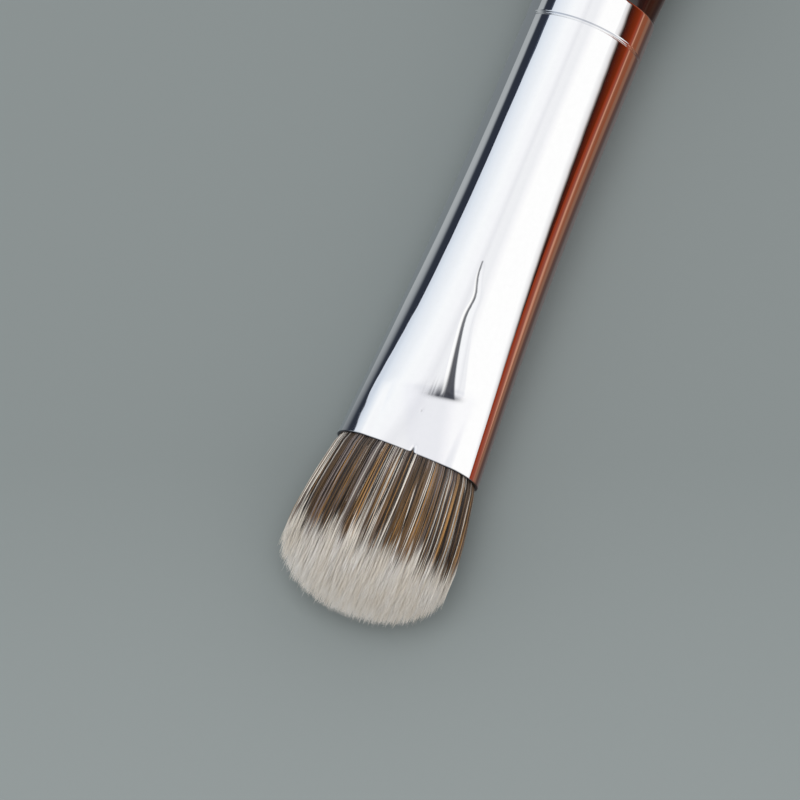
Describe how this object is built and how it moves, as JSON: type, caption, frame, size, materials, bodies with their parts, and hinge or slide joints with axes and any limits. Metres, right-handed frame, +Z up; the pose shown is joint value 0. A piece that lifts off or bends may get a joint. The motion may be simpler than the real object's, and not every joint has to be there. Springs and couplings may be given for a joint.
{
  "type": "eyeshadow brush",
  "caption": "Flat domed eyeshadow brush: pressed metal ferrule with mixed dark and white-tipped hair on a turned, gloss-lacquered wooden handle.",
  "frame": {"origin": "on the table that the brush lies on, under the middle of its length and width", "axes": "+X from the handle's tail to the hair, +Z up from the table, flat faces of the ferrule's mouth facing up and down"},
  "size_m": [0.1802, 0.0112, 0.0111],
  "materials": {
    "handle_lacquer": "gloss",
    "glue": "gloss",
    "ferrule_plating": "polished",
    "resin": "gloss",
    "thread": "matte",
    "hair": "satin"
  },
  "bodies": {
    "root": {"handle": "handle_lacquer", "handle_glue": "glue", "ferrule": "ferrule_plating", "resin_plug": "resin", "tie_thread": "thread", "bristle_tuft": "hair"}
  },
  "joints": []
}
